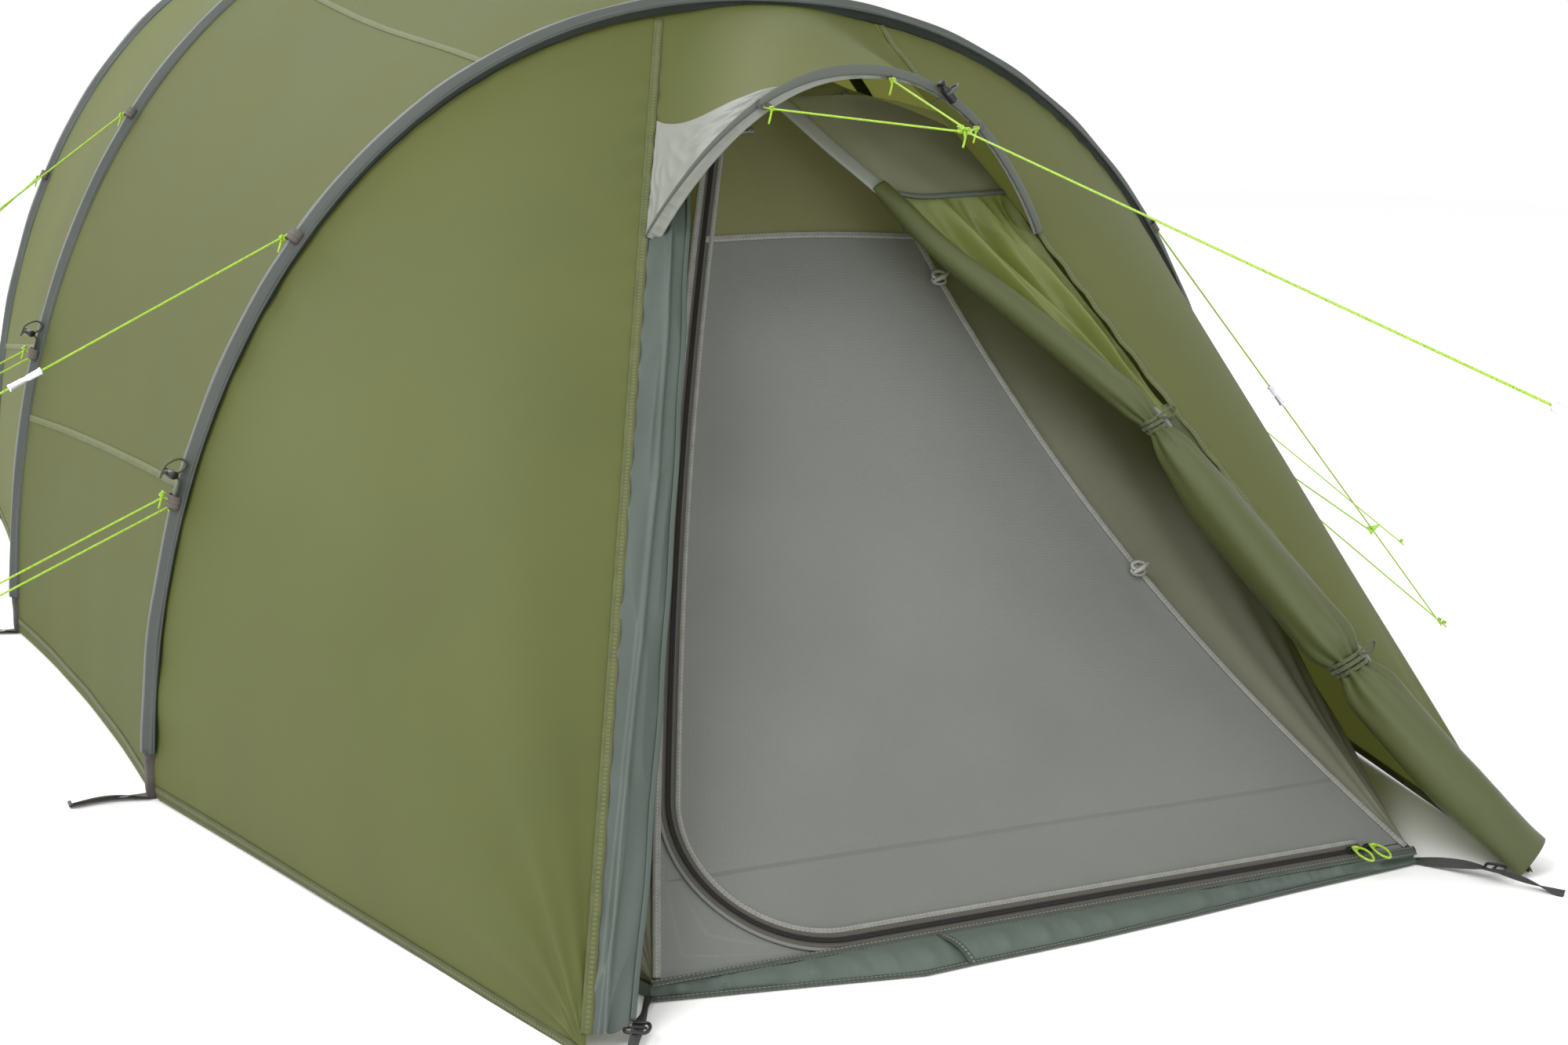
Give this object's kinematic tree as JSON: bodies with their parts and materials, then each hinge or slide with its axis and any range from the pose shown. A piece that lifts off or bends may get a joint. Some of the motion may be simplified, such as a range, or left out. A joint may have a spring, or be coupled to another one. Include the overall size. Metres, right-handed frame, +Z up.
{
  "type": "tunnel tent",
  "caption": "Tunnel tent on hoops with a sloping nose door, hanging inner tent with a zipped door, groundsheet and guy lines.",
  "frame": {"origin": "middle of the base: centre of the tent's footprint box without its guy lines, on the ground", "axes": "+Z up; -Y out of the nose with the open outer door; +X to the right seen from the nose"},
  "size_m": [2.8434, 4.199, 1.232],
  "materials": {
    "flysheet": "coated ripstop flysheet cloth, olive green, slight sheen",
    "inner_cloth": "light grey ripstop inner tent cloth",
    "sleeve_cloth": "dark grey-green pole sleeve cloth",
    "webbing": "ribbed grey-brown webbing",
    "tub_cloth": "dark green coated groundsheet cloth",
    "flap_cloth": "glossy grey-green coated cloth",
    "brim_cloth": "grey reinforcement cloth",
    "mesh_cloth": "fine mesh netting",
    "guy_cord": "braided lime guy cord",
    "pole": "anodised aluminium tube",
    "runner": "silver line runner",
    "zip": "coil zip tape and slider"
  },
  "bodies": {
    "tent": {"front_pole": "pole", "front_pole_sleeve": "sleeve_cloth", "front_left_foot_webbing": "webbing", "front_right_foot_webbing": "webbing", "middle_pole": "pole", "middle_pole_sleeve": "sleeve_cloth", "middle_left_foot_webbing": "webbing", "middle_right_foot_webbing": "webbing", "rear_pole": "pole", "rear_pole_sleeve": "sleeve_cloth", "rear_left_foot_webbing": "webbing", "rear_right_foot_webbing": "webbing", "front_bay_left_panel": "flysheet", "front_bay_roof_panel": "flysheet", "front_bay_right_panel": "flysheet", "rear_bay_left_panel": "flysheet", "rear_bay_roof_panel": "flysheet", "rear_bay_right_panel": "flysheet", "nose_left_panel": "flysheet", "nose_right_panel": "flysheet", "tail_left_panel": "flysheet", "tail_right_panel": "flysheet", "tail_end_panel": "flysheet", "nose_hood_panel": "flysheet", "outer_door_roll": "flysheet", "hood_brim": "brim_cloth", "nose_storm_flap": "flap_cloth", "outer_door_vent": "mesh_cloth", "upper_door_tie": "webbing", "lower_door_tie": "webbing", "inner_front_wall": "inner_cloth", "inner_left_wall": "inner_cloth", "inner_right_wall": "inner_cloth", "inner_roof": "inner_cloth", "inner_rear_wall": "inner_cloth", "inner_zip_wall_tape": "zip", "groundsheet_tub": "tub_cloth", "right_guy_plate": "guy_cord", "left_corner_strap": "sleeve_cloth", "right_corner_strap": "sleeve_cloth", "left_middle_upper_guy": "guy_cord", "left_rear_upper_guy": "guy_cord", "right_middle_upper_guy": "guy_cord", "left_front_lower_guy": "guy_cord", "left_middle_lower_guy": "guy_cord", "left_front_upper_guy": "guy_cord", "right_front_upper_guy": "guy_cord", "left_bridle_guy": "guy_cord", "centre_bridle_guy": "guy_cord", "nose_guy": "guy_cord", "right_front_lower_guy": "guy_cord"},
    "inner_door": {"inner_door": "inner_cloth", "inner_zip_door_tape": "zip"},
    "lower_slider": {"lower_zip_slider": "zip"},
    "upper_slider": {"upper_zip_slider": "zip"},
    "lower_pull": {"lower_zip_pull": "guy_cord"},
    "upper_pull": {"upper_zip_pull": "guy_cord"},
    "left_runner": {"left_guy_runner": "runner"},
    "right_runner": {"right_guy_runner": "runner"},
    "nose_runner": {"nose_guy_runner": "runner"}
  },
  "joints": [
    {"name": "inner_door_swing", "type": "hinge", "parent": "tent", "child": "inner_door", "pos_m": [0.469, -1.64504, 0.0168], "axis": [-0.3177, 0.6234, 0.7144], "range_deg": [0, 25]},
    {"name": "upper_slider_travel", "type": "slide", "parent": "inner_door", "child": "upper_slider", "axis": [-1, 0, 0], "range_m": [0, 0.6]},
    {"name": "lower_slider_travel", "type": "slide", "parent": "inner_door", "child": "lower_slider", "axis": [-1, 0, 0], "range_m": [0, 0.6]},
    {"name": "lower_pull_swing", "type": "hinge", "parent": "lower_slider", "child": "lower_pull", "pos_m": [0.435, -1.64311, 0.03107], "axis": [-1, 0, 0], "range_deg": [0, 90]},
    {"name": "upper_pull_swing", "type": "hinge", "parent": "upper_slider", "child": "upper_pull", "pos_m": [0.409, -1.64311, 0.03107], "axis": [-1, 0, 0], "range_deg": [0, 90]},
    {"name": "left_runner_travel", "type": "slide", "parent": "tent", "child": "left_runner", "axis": [-0.8829, 0, -0.4696], "range_m": [-0.25, 0.05]},
    {"name": "right_runner_travel", "type": "slide", "parent": "tent", "child": "right_runner", "axis": [0.7065, 0.0655, -0.7047], "range_m": [-0.25, 0.25]},
    {"name": "nose_runner_travel", "type": "slide", "parent": "tent", "child": "nose_runner", "axis": [0, -0.9794, -0.202], "range_m": [-0.6, 0.05]}
  ],
  "couplings": [
    {"joint": "lower_slider_travel", "follows": "upper_slider_travel", "ratio": 1}
  ]
}
